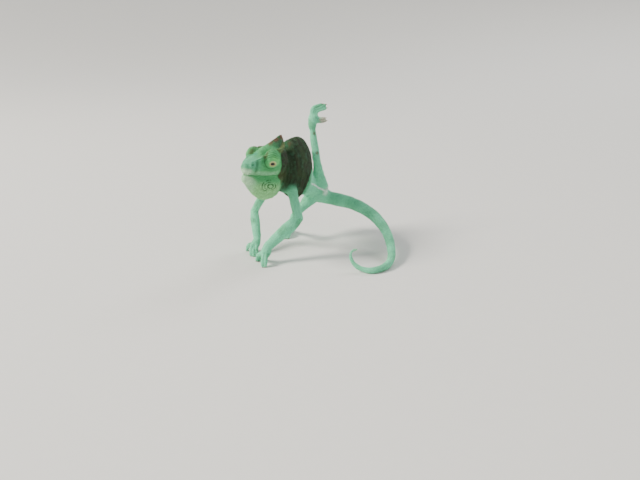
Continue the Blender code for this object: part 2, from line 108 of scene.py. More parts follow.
# bundles: digits, middle tip, the way they lie side by side, bow
DIGITS = {
    "left_front": (
        (2, (-5.8, -27.4, 0.45), (1.0, 0.25, 0.0), (0.4, -1.2, 0.8)),
        (3, (-12.2, -21.0, 0.45), (-0.45, -0.9, 0.0), (-1.0, 0.2, 1.0)),
    ),
    "right_front": (
        (2, (-23.6, -11.2, 0.45), (0.35, -0.9, 0.0), (-1.2, 0.0, 1.0)),
        (3, (-16.6, -17.2, 0.45), (1.0, 0.35, 0.0), (0.3, -1.0, 1.0)),
    ),
    "left_hind": (
        (3, (-3.1, 26.0, 60.3), (-0.64, -0.3, 0.7), (-2.0, -0.9, 1.3)),
        (2, (-2.1, 24.6, 54.0), (-0.35, -0.1, 0.9), (-0.3, 0.0, -1.0)),
    ),
    "right_hind": (
        (3, (-19.4, 23.4, 0.5), (1.0, 0.3, 0.0), (-0.4, 0.8, 1.0)),
        (2, (-15.4, 11.0, 0.5), (1.0, 0.3, 0.0), (0.3, -0.8, 1.0)),
    ),
}
DIGIT = 1.15
DIGIT_TIP = 0.84
DIGIT_PITCH = 1.36
CLAW_LENGTH = 1.1
LIPS = ((-14, -7.6), (-8, -7.6), (0, -7.2), (7, -6.2))  # back and height of the mouth's line
MOUTH_CORNER = 6.2
NOSTRIL = (2.35, -8.9, -3.5)
TEMPLE_EDGE = ((-13, 12.0), (-9.4, 8.4), (-6, 6.2), (-1, 5.0), (4, 5.4))  # height, and how far back it starts
SNOUT_CREASE = ((3.2, -6.9, -2.4), (3.2, -7.0, -4.6), (3.0, -6.6, -6.8))
BROW = (
    (1.7, -9.4, -2.7),
    (2.9, -6.6, -1.3),
    (3.7, -3.6, 0.5),
    (4.3, -0.8, 2.3),
    (4.6, 2.0, 3.2),
    (4.5, 5.0, 3.6),
    (3.7, 7.6, 4.8),
    (2.3, 9.8, 6.6),
)

# the belly's middle line: low on the chest, then up the left side, to which the hips are rolled
BELLY = (
    (-6.6, -9.0, 28.0),
    (-6.2, -3.0, 24.6),
    (-6.0, 1.5, 22.6),
    (-4.6, 5.0, 23.6),
    (-2.0, 7.6, 27.6),
    (-1.6, 11.0, 27.4),
    (-2.4, 15.9, 25.4),
    (-1.3, 19.4, 23.2),
    (0.4, 23.4, 21.2),
)
# where the dark back ends: for each height, how far back
DARK_EDGE = ((20.0, 2.4), (26.4, 3.6), (32.0, 6.2), (36.0, 11.5), (44.0, 17.0))

RNG = np.random.default_rng(7)


def place(x, y, z):
    """A place of the skeleton, in the model's own frame."""
    return Vector((x - CENTRE[0], y - CENTRE[1], z))


def head_frame():
    turn = Matrix.Rotation(math.radians(HEAD_YAW), 4, "Z")
    turn @= Matrix.Rotation(math.radians(HEAD_PITCH), 4, "X")
    turn @= Matrix.Rotation(math.radians(HEAD_ROLL), 4, "Y")
    return Matrix.Translation(place(*EYES)) @ turn


HEAD = head_frame()
HEAD_TURN = HEAD.to_3x3()


# ---- small helpers on rows of points ----
def ramp(none, full, values):
    """0 at the first value and 1 at the second, with a smooth step between."""
    t = np.clip((values - none) / (full - none), 0, 1)
    return t * t * (3 - 2 * t)


def bell(values, middle, width):
    """A smooth bump of height 1 about the middle."""
    return np.exp(-(((values - middle) / width) ** 2))


def unit(rows):
    return rows / np.maximum(np.linalg.norm(rows, axis=1, keepdims=True), 1e-9)


def lengths(rows):
    return np.linalg.norm(rows, axis=1)


def in_head(points):
    back = np.array(HEAD.inverted())
    return points @ back[:3, :3].T + back[:3, 3]


def smooth_line(rows, steps):
    """Catmull-Rom through rows of numbers."""
    rows = np.array(rows, float)
    padded = np.vstack([2 * rows[0] - rows[1], rows, 2 * rows[-1] - rows[-2]])
    made = []
    for i in range(len(rows) - 1):
        a, b, c, d = padded[i : i + 4]
        for t in np.arange(steps) / steps:
            even = 0.5 * (2 * b + (c - a) * t + (2 * a - 5 * b + 4 * c - d) * t**2)
            made.append(even + 0.5 * (3 * b - a - 3 * c + d) * t**3)
    made.append(rows[-1])
    return np.array(made)


def along_line(points, line):
    """For each point: distance to the line's flesh (radius in its fourth column), and how far along it is."""
    best = np.full(len(points), 1e9)
    way = np.zeros(len(points))
    start = 0.0
    for low, high in zip(line, line[1:]):
        run = high[:3] - low[:3]
        length = np.linalg.norm(run)
        t = np.clip((points - low[:3]) @ run / length**2, 0, 1)
        near = low[:3] + t[:, None] * run
        away = lengths(points - near) - (low[3] + t * (high[3] - low[3]))
        closer = away < best
        best = np.where(closer, away, best)
        way = np.where(closer, start + t * length, way)
        start += length
    return best, way


def noise(points, size, seed):
    """Smooth noise of about -1 to 1, with lumps of the given size."""
    made = np.zeros(len(points))
    waves = np.random.default_rng(seed)
    for _ in range(14):
        heading = unit(waves.normal(size=(1, 3)))[0]
        stretch = waves.uniform(0.7, 1.6)
        turn = waves.uniform(0, 6.28)
        made += np.sin(points @ heading * stretch * TURN / (2.2 * size) + turn)
    return made / 14**0.5 / 0.9


def body_lines():
    """The middle lines of the animal's parts, with the flesh's radius."""
    lines = {}
    shift = np.array((-CENTRE[0], -CENTRE[1], 0, 0))
    lines["trunk"] = smooth_line([row[:4] for row in TRUNK], 2) + shift
    lines["tail"] = smooth_line([row[:4] for row in TAIL[1:]], 2) + shift
    skull = ((0, -9, -5.4, 3.0), (0, -4, -5, 5.0), (0, 3, -4.6, 7.4), (0, 8, -3, 7.4), (0, 10.5, 5.0, 4.0))
    lines["head"] = np.array([(*(HEAD @ Vector(row[:3])), row[3]) for row in skull])
    for leg, (top, bend, end, palm) in LEGS.items():
        radius = LEG_RADII[leg]
        rows = [(*top, radius + 0.6), (*bend, radius * 0.9), (*end, radius * 0.85), (*palm, 2.0)]
        lines[leg] = np.array(rows, float) + shift
    for leg, bundles in DIGITS.items():
        for n, (_, tip, _, _) in enumerate(bundles):
            rows = [(*LEGS[leg][3], 1.9), (*tip, 1.3)]
            lines[f"{leg}_toes_{n}"] = np.array(rows, float) + shift
    return lines


LINES = body_lines()


class Places:
    """Where points lie on the animal: shares of each part, and the way along it."""

    def __init__(self, points):
        self.points = points
        self.head = in_head(points)
        depth = {}
        self.way = {}
        for name, line in LINES.items():
            depth[name], self.way[name] = along_line(points, line)
        least = np.min(list(depth.values()), axis=0)
        raw = {name: np.exp(-(away - least) / 0.7) for name, away in depth.items()}
        total = sum(raw.values())
        self.share = {name: value / total for name, value in raw.items()}
        self.toes = sum(self.share[name] for name in LINES if "toes" in name)
        self.legs = sum(self.share[name] for name in LEGS) + self.toes


def past_dark_edge(points):
    """How far behind the edge of the dark back a point lies, in mm."""
    height, back = np.array(DARK_EDGE).T
    return points[:, 1] + CENTRE[1] - np.interp(points[:, 2], height, back)


def lip_height(back):
    lips = np.array(LIPS, float)
    return np.interp(back, lips[:, 0], lips[:, 1])


def ball_mask(points, middle, radius, soft=0.45):
    return ramp(radius * (1 + soft), radius * (1 - soft), lengths(points - np.array(middle)))


def line_mask(points, rows, width):
    line = np.array([(*row[:3], 0.0) for row in rows])
    away, _ = along_line(points, line)
    return ramp(width * 1.4, width * 0.6, away)


def on_both_sides(rows):
    """A line on the head's left side, and its mirror image on the right."""
    return [[(side * x, y, z) for x, y, z in rows] for side in SIDES.values()]


# ---- skin ----
def new_object(name, data):
    obj = bpy.data.objects.new(name, data)
    bpy.context.scene.collection.objects.link(obj)
    return obj


def bake(obj):
    bpy.context.view_layer.update()
    graph = bpy.context.evaluated_depsgraph_get()
    mesh = bpy.data.meshes.new_from_object(obj.evaluated_get(graph))
    obj.modifiers.clear()
    obj.data = mesh


def read(rows, name, width, kind=np.float32):
    """One property of a mesh's points, edges, faces or corners, as rows of numbers."""
    values = np.empty(len(rows) * width, kind)
    rows.foreach_get(name, values)
    return values.reshape(-1, width)


def points_of(mesh):
    return read(mesh.vertices, "co", 3).astype(float) / MM


def set_points(mesh, points):
    mesh.vertices.foreach_set("co", (points * MM).astype(np.float32).ravel())
    mesh.update()


def normals_of(mesh):
    return read(mesh.vertex_normals, "vector", 3).astype(float)


def relaxed(points, edges, share):
    """Moves each point a share of the way to the middle of its neighbours."""
    count = np.bincount(edges.ravel(), minlength=len(points))[:, None]
    total = np.zeros_like(points)
    for ends, others in (edges.T, edges.T[::-1]):
        for axis in range(3):
            total[:, axis] += np.bincount(ends, weights=points[others, axis], minlength=len(points))
    return points + share * (total / count - points)


def smoothed(points, edges, rounds):
    """Evens out steps and seams without thinning the digits."""
    for _ in range(rounds):
        points = relaxed(relaxed(points, edges, 0.6), edges, -0.62)
    return points


def melted_flesh(nodes):
    """All the parts, swollen until they meet and melted into one closed skin."""
    bm = bmesh.new()
    for node in nodes:
        bm.from_mesh(node.data)
    bmesh.ops.remove_doubles(bm, verts=bm.verts, dist=1e-7)
    bmesh.ops.recalc_face_normals(bm, faces=bm.faces)
    bm.normal_update()
    for v in bm.verts:
        v.co += v.normal * SWELL * MM
    mesh = bpy.data.meshes.new("skin")
    bm.to_mesh(mesh)
    bm.free()
    skin = new_object("skin", mesh)
    melt = skin.modifiers.new("Melt", "REMESH")
    melt.mode = "VOXEL"
    melt.voxel_size = SKIN_CELL * MM
    bake(skin)
    return skin


def digits():
    """Each digit: its leg, bundle, root, knuckle, end, claw point, and the way it bows."""
    made = []
    for leg, bundles in DIGITS.items():
        palm = Vector(LEGS[leg][3])
        for bundle, (count, tip, across, bow) in enumerate(bundles):
            tip, bow, across = Vector(tip), Vector(bow), Vector(across).normalized()
            for i in range(count):
                aside = i - (count - 1) / 2
                shift = across * DIGIT_PITCH * aside
                root = palm + shift * 0.5
                end = tip.lerp(palm, 0.12 * abs(aside)) + shift * 0.9
                knuckle = (root + end) / 2 + bow * 0.75
                reach = (end - knuckle).normalized()
                point = end + reach * CLAW_LENGTH - bow.normalized() * 0.25
                stops = [place(*stop) for stop in (root, knuckle, end, point)]
                made.append((leg, bundle, *stops, bow.normalized()))
    return made


def digit_grooves(points):
    """Grooves between the fused digits of each bundle, and folds across their knuckles."""
    made = np.zeros(len(points))
    bundles = {}
    for leg, number, root, knuckle, end, *_ in digits():
        line = np.array([(*root, DIGIT * 1.1), (*knuckle, DIGIT), (*end, DIGIT_TIP)])
        bundles.setdefault((leg, number), []).append(along_line(points, line))
    for found in bundles.values():
        depths, ways = np.array(found).swapaxes(0, 1)
        way = np.take_along_axis(ways, depths.argmin(axis=0)[None], axis=0)[0]
        depths.sort(axis=0)
        near = ramp(1.0, 0.2, depths[0]) * ramp(0.8, 2.0, way)
        made -= 0.34 * bell(depths[1] - depths[0], 0, 0.20) * near
        made += 0.05 * np.sin(way * TURN / 0.9) * near
    return made


def joint_creases(at):
    """Small cross folds on the inner side of each bend."""
    made = np.zeros(len(at.points))
    for leg, stops in LEGS.items():
        for before, joint, after in (stops[:3], stops[1:]):
            run = unit(np.array([Vector(after) - Vector(before)]))[0]
            inner = unit(np.array([(Vector(before) + Vector(after)) / 2 - Vector(joint)]))[0]
            offset = at.points - np.array(place(*joint))
            near = np.exp(-((lengths(offset) / 2.6) ** 4))
            inside = ramp(-0.6, 1.2, offset @ inner)
            ripple = np.sin(offset @ run * TURN / 0.95)
            made += 0.09 * ripple * near * inside * at.share[leg]
    return made


def round_the_eye(at, name):
    """Each point's distance from the eye's axis, angle to it, and depth: 1 at the turret's surface."""
    gaze = np.array(Vector(GAZES[name]).normalized())
    offset = at.head - np.array((SIDES[name] * EYE_SPAN / 2, 0, 0))
    reach = lengths(offset)
    front = offset @ gaze
    wide = np.where((front > 0) & (reach < 5), lengths(offset - front[:, None] * gaze), 99.0)
    angle = np.arccos(np.clip(front / np.maximum(reach, 1e-6), -1, 1))
    return wide, angle, lengths(offset / np.array(TURRET))


def from_nostril(at, name):
    side, back, up = NOSTRIL
    return lengths(at.head - np.array((SIDES[name] * side, back, up)))


def turret_folds(at):
    """Ring folds round each eye, the lid's rim, the pit that holds the eye, and the folds of the orbit."""
    made = np.zeros(len(at.points))
    for name, side in SIDES.items():
        wide, angle, shell = round_the_eye(at, name)
        on_turret = ramp(1.12, 1.0, shell) * ramp(0.42, 0.62, angle)
        made += 0.07 * np.cos((angle - 0.36) * TURN / 0.238) * on_turret
        outside = (side * at.head[:, 0] > 1.5) & (shell < 2.2)
        made -= np.where(outside, 0.30 * bell(shell, ORBIT_CREASE, 0.055), 0)
        folds = np.cos((shell - ORBIT_FOLDS) * TURN / ORBIT_FOLD_STEP) * ramp(1.14, 1.2, shell)
        folds = folds * ramp(1.62, 1.35, shell) * ramp(3.5, 0.5, at.head[:, 1])
        made += np.where(outside, 0.13 * folds, 0)
        made += 0.13 * bell(wide - LID_OPENING, 0.24, 0.20)
        made -= 0.75 * ramp(LID_OPENING + 0.08, LID_OPENING - 0.16, wide)
    return made


def face_folds(at):
    """The mouth's groove between its lips, the nostrils, and the crease down each side of the snout."""
    _, back, up = at.head.T
    to_lip = np.abs(up - lip_height(back))
    mouth = bell(to_lip, 0, 0.2) * ramp(MOUTH_CORNER + 0.8, MOUTH_CORNER - 0.6, back)
    made = -0.32 * mouth * at.share["head"]
    lips = bell(to_lip, 0.62, 0.3) * ramp(MOUTH_CORNER, 4.0, back)
    made += 0.09 * lips * at.share["head"]
    for name, crease in zip(SIDES, on_both_sides(SNOUT_CREASE)):
        away = from_nostril(at, name)
        made -= 0.42 * np.exp(-((away / 0.42) ** 4))
        made += 0.12 * bell(away, 0.75, 0.25)
        made -= 0.2 * line_mask(at.head, crease, 0.7)
    return made


def hide_folds(at):
    """Loose folds of hide at the throat, neck, shoulder and flank, and a slight unevenness all over."""
    points = at.points
    back, up = at.head[:, 1], at.head[:, 2]
    behind_jaw = bell(back - 12.4 - 0.12 * (up + 6), 0, 2.4) * ramp(1.0, -3.0, up)
    neck = np.sin((back + 0.25 * up) * TURN / 1.9 + noise(points, 6, 3))
    made = 0.13 * neck * behind_jaw * (at.share["head"] + at.share["trunk"])
    pouch = ramp(-11.5, -14.5, up) * ramp(-6, -2, back) * at.share["head"]
    made += 0.08 * np.sin(up * TURN / 1.25 + noise(points, 5, 4)) * pouch
    flank = at.share["trunk"] * ramp(0, 8, at.way["trunk"])
    pleats = np.sin(at.way["trunk"] * TURN / 2.7 + 1.4 * noise(points, 9, 5))
    made += 0.10 * pleats * flank * ramp(-0.6, 0.8, noise(points, 7, 6))
    behind = past_dark_edge(points)
    groin = bell(behind, 0, 0.9) - 0.6 * bell(behind, -2.0, 1.3)
    made -= 0.45 * groin * at.share["trunk"] * ramp(35, 31, points[:, 2])
    made += 0.05 * noise(points, 3.4, 8) + 0.05 * noise(points, 1.5, 9)
    return made


def make_skin(frame):
    nodes = list(frame["nodes"].values())
    skin = melted_flesh(nodes)
    mesh = skin.data
    edges = read(mesh.edges, "vertices", 2, np.int32)
    points = smoothed(points_of(mesh), edges, 18)
    set_points(mesh, points)
    coat = COAT * (1 - 0.4 * Places(points).toes)
    points = smoothed(points - normals_of(mesh) * (SWELL + coat)[:, None], edges, 2)
    set_points(mesh, points)
    at = Places(points)
    rise = face_folds(at) + hide_folds(at) + joint_creases(at) + digit_grooves(points)
    rise = rise * ramp(0.1, 0.9, points[:, 2]) + turret_folds(at)
    points = points + normals_of(mesh) * rise[:, None]
    set_points(mesh, relaxed(points, edges, 0.15))
    mesh.shade_smooth()
    mesh.materials.append(bpy.data.materials["reptile_hide"])
    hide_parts(*[node.name for node in nodes if "eyeball" not in node.name])
    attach(skin, "root")
    return skin


class Surface:
    """The finished skin, to cast rays on and to find the nearest place of."""

    def __init__(self, obj):
        obj.data.calc_loop_triangles()
        self.tris = read(obj.data.loop_triangles, "vertices", 3, np.int32)
        self.points = points_of(obj.data)
        self.normals = normals_of(obj.data)
        self.tree = BVHTree.FromPolygons(self.points.tolist(), self.tris.tolist())

    def shares(self, points, faces):
        """Barycentric shares of points on the faces they lie on."""
        a, b, c = (self.points[self.tris[faces, i]] for i in range(3))
        ab, ac, ap = b - a, c - a, points - a
        d00, d01, d11 = (ab * ab).sum(1), (ab * ac).sum(1), (ac * ac).sum(1)
        d20, d21 = (ap * ab).sum(1), (ap * ac).sum(1)
        below = np.maximum(d00 * d11 - d01 * d01, 1e-12)
        v = (d11 * d20 - d01 * d21) / below
        w = (d00 * d21 - d01 * d20) / below
        return np.clip(np.stack([1 - v - w, v, w], axis=1), 0, 1)

    def nearest(self, points):
        """The nearest places on the skin, their normals and faces."""
        found = [self.tree.find_nearest(point) for point in points.tolist()]
        places = np.array([hit[0][:] for hit in found])
        faces = np.array([hit[2] for hit in found])
        return places, self.normal_at(places, faces), faces

    def normal_at(self, places, faces):
        share = self.shares(places, faces)
        mixed = sum(self.normals[self.tris[faces, i]] * share[:, i : i + 1] for i in range(3))
        return unit(mixed)

    def cast(self, origin, heading):
        """Where a ray meets the skin, or None."""
        return self.tree.ray_cast(Vector(origin), Vector(heading).normalized())[0]

    def cast_in_head(self, origin, heading):
        """The same, for a ray given in the head's own frame."""
        return self.cast(HEAD @ Vector(origin), HEAD_TURN @ Vector(heading))


# ---- where scales grow ----
def spacing_at(at):
    """Width of the scales at each place, in mm: small on toes, lids and tail tip, large on the casque."""
    _, back, up = at.head.T
    on_casque = ramp(1.0, 6.0, up - 0.1 * back)
    on_throat = ramp(-8.5, -10.5, up)
    head = 0.36 + 0.10 * on_casque + 0.03 * on_throat + 0.05 * ramp(0, 8, back)
    for side in SIDES.values():
        head = head - 0.06 * ramp(5.6, 4.4, lengths(at.head - np.array((side * EYE_SPAN / 2, 0, 0))))
    tail = 0.38 - 0.13 * ramp(25, 92, at.way["tail"])
    size = at.share["head"] * head + at.share["tail"] * tail + at.share["trunk"] * 0.43
    size = size + sum(at.share[leg] for leg in LEGS) * 0.35 + at.toes * 0.27
    tubercles = ramp(0.9, 1.5, noise(at.points, 1.1, 21)) * at.share["trunk"]
    return size * (1 + 0.10 * noise(at.points, 1.3, 20) + 0.35 * tubercles)


def bare(at):
    """True where no scale grows: in the mouth's line, the nostrils, the eyes and under the claws."""
    _, back, up = at.head.T
    none = (np.abs(up - lip_height(back)) < 0.14) & (back < MOUTH_CORNER) & (at.share["head"] > 0.5)
    for name in SIDES:
        none |= from_nostril(at, name) < 0.5
        none |= round_the_eye(at, name)[0] < LID_OPENING + LID_RIM - 0.12
    for *_, end, point, _ in digits():
        none |= lengths(at.points - np.array(end.lerp(point, 0.6))) < 0.55
    return none


def off_axis(gaze, lean, turn):
    """A heading that leans away from a gaze, turned about it."""
    across = gaze.cross(Vector((0, 0, 1))).normalized()
    rise = gaze.cross(across)
    return gaze * math.cos(lean) + (across * math.cos(turn) + rise * math.sin(turn)) * math.sin(lean)


def lip_rows(surface):
    """Roots of the larger scales that edge the mouth, above and below its line."""
    roots = []
    for lift in (0.36, -0.34):
        for turn in np.arange(-90, 91, 6):
            angle = math.radians(turn)
            heading = Vector((math.sin(angle), -math.cos(angle), 0))
            centre = Vector((0, -4.2, lip_height(-8.0) + lift))
            roots.append(surface.cast_in_head(centre + heading * 14, -heading))
        for back in np.arange(-3.5, MOUTH_CORNER, 0.57):
            for side in SIDES.values():
                roots.append(surface.cast_in_head((side * 14, back, lip_height(back) + lift), (-side, 0, 0)))
    return [(root, 0.58) for root in roots if root]


def lid_rings(surface):
    """Roots in rings round each eye's opening."""
    roots = []
    for name, side in SIDES.items():
        gaze = Vector(GAZES[name]).normalized()
        centre = Vector((side * EYE_SPAN / 2, 0, 0))
        for ring in range(11):
            angle = 0.45 + 0.098 * ring
            count = round(TURN * 3.6 * math.sin(angle) / 0.35)
            for i in range(count):
                heading = off_axis(gaze, angle, TURN * (i + 0.5 * (ring % 2)) / count)
                root = surface.cast_in_head(centre + heading * 9, -heading)
                if root and (HEAD.inverted() @ root - centre).length < 4.3:
                    roots.append((root, 0.35))
    return roots


def ridge_rows(surface):
    """Roots along the brow ridges, which run from the nostrils up to the casque's peak."""
    roots = []
    for mirror in SIDES.values():
        for side, back, up in smooth_line(BROW, 6):
            roots.append(surface.cast_in_head((mirror * (side + 3), back, up + 7), (-mirror * 3, 0, -7)))
    return [(root, 0.5) for root in roots if root]


def tree_of(roots):
    tree = KDTree(len(roots))
    for i, root in enumerate(roots.tolist()):
        tree.insert(root, i)
    tree.balance()
    return tree


def thinned(roots, sizes, share):
    """Keeps the roots that stand at least a share of their size apart, earlier ones first."""
    tree = tree_of(roots)
    dropped = np.zeros(len(roots), bool)
    for i, root in enumerate(roots.tolist()):
        if not dropped[i]:
            for _, j, _ in tree.find_range(root, sizes[i] * share):
                dropped[j] |= j > i
    return ~dropped


def neighbours(roots, count):
    tree = tree_of(roots)
    return np.array([[hit[1] for hit in tree.find_n(root, count + 1)][1:] for root in roots.tolist()])


def scale_roots(surface):
    """Places of all the scales: set rows on lips, lids and brows, and an even packing between them."""
    fixed = lip_rows(surface) + lid_rings(surface) + ridge_rows(surface)
    corners = surface.points[surface.tris]
    areas = lengths(np.cross(corners[:, 1] - corners[:, 0], corners[:, 2] - corners[:, 0])) / 2
    sizes = spacing_at(Places(corners.mean(axis=1)))
    count = RNG.poisson(areas / (HEX_CELL * sizes**2) * CROWD)
    pick = np.repeat(np.arange(len(areas)), count)
    RNG.shuffle(pick)
    u, v = RNG.random((2, len(pick)))
    over = u + v > 1
    u, v = np.where(over, 1 - u, u), np.where(over, 1 - v, v)
    a, b, c = corners[pick, 0], corners[pick, 1], corners[pick, 2]
    loose = a + (b - a) * u[:, None] + (c - a) * v[:, None]
    roots = np.vstack([[root[:] for root, _ in fixed], loose])
    sizes = np.concatenate([[size for _, size in fixed], sizes[pick]])
    kept = thinned(roots, sizes, CLOSEST)
    held = kept[: len(fixed)].sum()
    roots, sizes = roots[kept], sizes[kept]
    for _ in range(6):
        near = neighbours(roots, 6)
        apart = roots[:, None] - roots[near]
        gap = np.linalg.norm(apart, axis=2)
        wanted = (sizes[:, None] + sizes[near]) / 2 * 1.12
        push = np.clip(1 - gap / wanted, 0, 1)[:, :, None] * apart / np.maximum(gap, 1e-6)[:, :, None]
        moved = roots + push.sum(axis=1) * 0.32 * sizes[:, None]
        moved[:held] = roots[:held]
        roots, _, _ = surface.nearest(moved)
    grown = ~bare(Places(roots))
    return roots[grown], sizes[grown]


# ---- the scales' own mesh ----
def new_mesh(name, points, faces, patches=None):
    """A mesh of triangles, points in mm, with a patch of the bake map for each point."""
    mesh = bpy.data.meshes.new(name)
    mesh.vertices.add(len(points))
    mesh.vertices.foreach_set("co", (points * MM).astype(np.float32).ravel())
    mesh.loops.add(faces.size)
    mesh.loops.foreach_set("vertex_index", faces.astype(np.int32).ravel())
    mesh.polygons.add(len(faces))
    mesh.polygons.foreach_set("loop_start", np.arange(0, faces.size, 3, dtype=np.int32))
    if patches is not None:
        layer = mesh.uv_layers.new(name="OFBake")
        layer.data.foreach_set("uv", patches[faces.ravel()].astype(np.float32).ravel())
    mesh.update(calc_edges=True)
    mesh.shade_smooth()
    return mesh


def set_values(mesh, name, values):
    layer = mesh.attributes.new(name, "FLOAT", "POINT")
    layer.data.foreach_set("value", np.ascontiguousarray(values, np.float32))


def circle(sides):
    """Points round a unit circle."""
    return [(math.cos(TURN * k / sides), math.sin(TURN * k / sides)) for k in range(sides)]


def add_piece(name, mesh, finish):
    """Puts a finished piece on the animal."""
    mesh.materials.append(bpy.data.materials[finish])
    piece = new_object(name, mesh)
    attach(piece, "root")


def tube_faces(start, sides, rings):
    """Triangles of a tube's wall, whose rings of points follow one another from a start."""
    faces = []
    for a in range(start, start + (rings - 1) * sides, sides):
        for k in range(sides):
            j = (k + 1) % sides
            faces += [(a + k, a + j, a + j + sides), (a + k, a + j + sides, a + k + sides)]
    return faces


def cap_faces(start, sides, tip):
    """Triangles from a ring of points to a tip."""
    return [(start + k, start + (k + 1) % sides, tip) for k in range(sides)]


class BakeMap:
    """An unwrap of the skin's own shape, in which every scale gets a small patch at its root's place."""

    def __init__(self, skin):
        base = new_object("bake_base", skin.data.copy())
        base.modifiers.new("Thin", "DECIMATE").ratio = 0.06
        bake(base)
        bpy.context.view_layer.objects.active = base
        base.select_set(True)
        bpy.ops.object.mode_set(mode="EDIT")
        bpy.ops.mesh.select_all(action="SELECT")
        bpy.ops.uv.smart_project(angle_limit=math.radians(66), island_margin=0.004)
        bpy.ops.object.mode_set(mode="OBJECT")
        self.surface = Surface(base)
        loops = read(base.data.loop_triangles, "loops", 3, np.int32)
        self.corners = read(base.data.uv_layers.active.data, "uv", 2)[loops]
        bpy.data.objects.remove(base)

    def centres(self, roots):
        places, _, faces = self.surface.nearest(roots)
        share = self.surface.shares(places, faces)
        return (self.corners[faces] * share[:, :, None]).sum(axis=1)


def outlines(roots, normals, sizes):
    """Two rows across each scale, and how far it reaches at each corner before it meets its neighbours."""
    near = neighbours(roots, 9)
    seed = RNG.normal(size=roots.shape)
    first = unit(seed - (seed * normals).sum(1, keepdims=True) * normals)
    second = np.cross(normals, first)
    offset = roots[near] - roots[:, None]
    x = (offset * first[:, None]).sum(2)
    y = (offset * second[:, None]).sum(2)
    gap = np.maximum(np.hypot(x, y), 1e-6)
    bearing = np.arctan2(y, x)
    ours = sizes[:, None] / (sizes[:, None] + sizes[near])
    reach = np.empty((len(roots), CORNERS))
    for k in range(CORNERS):
        facing = np.cos(TURN * k / CORNERS - bearing)
        meets = np.where(facing > 0.12, ours * gap / np.maximum(facing, 0.12), 9.0)
        reach[:, k] = meets.min(axis=1)
    reach = np.clip(reach, 0.24 * sizes[:, None], 0.82 * sizes[:, None]) * GROOVE
    return first, second, reach


def dome_piece(name, slot, bake_map, root, normal, rise, first, second, reach):
    """One joined mesh of closed-topped domes, with a rim sunk into the skin, a shoulder and a crown."""
    each = 2 * CORNERS + 1
    points = np.empty((len(root), each, 3))
    flat = np.zeros((each, 2))
    for k, (x, y) in enumerate(circle(CORNERS)):
        heading = first * x + second * y
        run = reach[:, k : k + 1]
        points[:, k] = root + heading * run - normal * RIM_DEPTH
        points[:, CORNERS + k] = root + heading * run * SHOULDER + normal * rise * SHOULDER
        flat[k] = (x, y)
        flat[CORNERS + k] = (0.7 * x, 0.7 * y)
    points[:, -1] = root + normal * rise
    points[:, :, 2] = np.maximum(points[:, :, 2], 0.0)
    faces = np.array(tube_faces(0, CORNERS, 2) + cap_faces(CORNERS, CORNERS, each - 1))
    faces = faces[None] + (np.arange(len(root)) * each)[:, None, None]
    patches = bake_map.centres(root)[:, None] + flat * BAKE_PATCH / 2
    mesh = new_mesh(name, points.reshape(-1, 3), faces.reshape(-1, 3), patches.reshape(-1, 2))
    # the crown carries the painted shade: darkest at the rim, lighter at the shoulder and lightest on top
    set_values(mesh, "crown", np.tile([0.0] * CORNERS + [0.8] * CORNERS + [1.0], len(root)))
    paint(mesh, root, each)
    add_piece(name, mesh, "granular_scale_keratin")


def grow_scales(surface, bake_map):
    roots, sizes = scale_roots(surface)
    _, normals, _ = surface.nearest(roots)
    at = Places(roots)
    outline = outlines(roots, normals, sizes)
    height = np.full(len(roots), DOME) * (1 + 0.15 * RNG.normal(size=len(roots)))
    height = height * (1 - 0.25 * at.share["head"])
    scales = (roots, normals, (height * sizes)[:, None], *outline)
    toes = {leg: at.share[f"{leg}_toes_0"] + at.share[f"{leg}_toes_1"] for leg in LEGS}
    names = ["head", "trunk", "tail", *LEGS]
    group = np.argmax([at.share[name] + toes.get(name, 0) for name in names], axis=0)
    slots = {"head": "head_skin", "trunk": "body_skin"}
    for n, name in enumerate(names):
        members = np.flatnonzero(group == n)
        members = members[np.argsort(roots[members, 1 if name in slots else 2])]
        for part, chosen in enumerate(np.array_split(members, math.ceil(len(members) / LARGEST_PIECE))):
            title = f"scales_{name}_{part + 1}"
            dome_piece(title, slots.get(name, "limb_skin"), bake_map, *(rows[chosen] for rows in scales))
            print(title, len(chosen), "scales")


# ---- crests ----
def spine_frames(rows, steps):
    """Places along a tube with its own up, as the solids are turned."""
    rows = smooth_line(rows, steps)
    places = [place(*row[:3]) for row in rows]
    made = []
    up = Vector((0, 0, 1))
    for i, row in enumerate(rows):
        along = (places[min(i + 1, len(rows) - 1)] - places[max(i - 1, 0)]).normalized()
        up = (up - along * up.dot(along)).normalized()
        made.append((places[i], along, Matrix.Rotation(math.radians(row[4]), 3, along) @ up))
    return made


def midline(surface, frames):
    """Where the back's middle line lies on the skin."""
    found = []
    for middle, along, up in frames:
        hit = surface.cast(middle + up * 22, -up)
        if hit and (hit - middle).length < 16:
            found.append((hit, along))
    return found


def belly_line(surface):
    """The belly's middle line on the skin, as places with headings."""
    line = smooth_line(BELLY, 16) - np.array((*CENTRE, 0))
    places, _, _ = surface.nearest(line)
    return [(Vector(a), Vector(b - a).normalized()) for a, b in zip(places, places[1:])]


def spaced(rows, step):
    """Places a set step apart along a row of places with headings."""
    made = [rows[0]]
    for hit, along in rows[1:]:
        if (hit - made[-1][0]).length >= step:
            made.append((hit, along))
    return made


def cone_on(surface, hit, length, radius, along):
    """A cone that stands straight on the skin: its root, tip and radius, and the way that it is widest."""
    _, normal, _ = surface.nearest(np.array([hit[:]]))
    return hit, hit + Vector(normal[0]) * length, radius, along


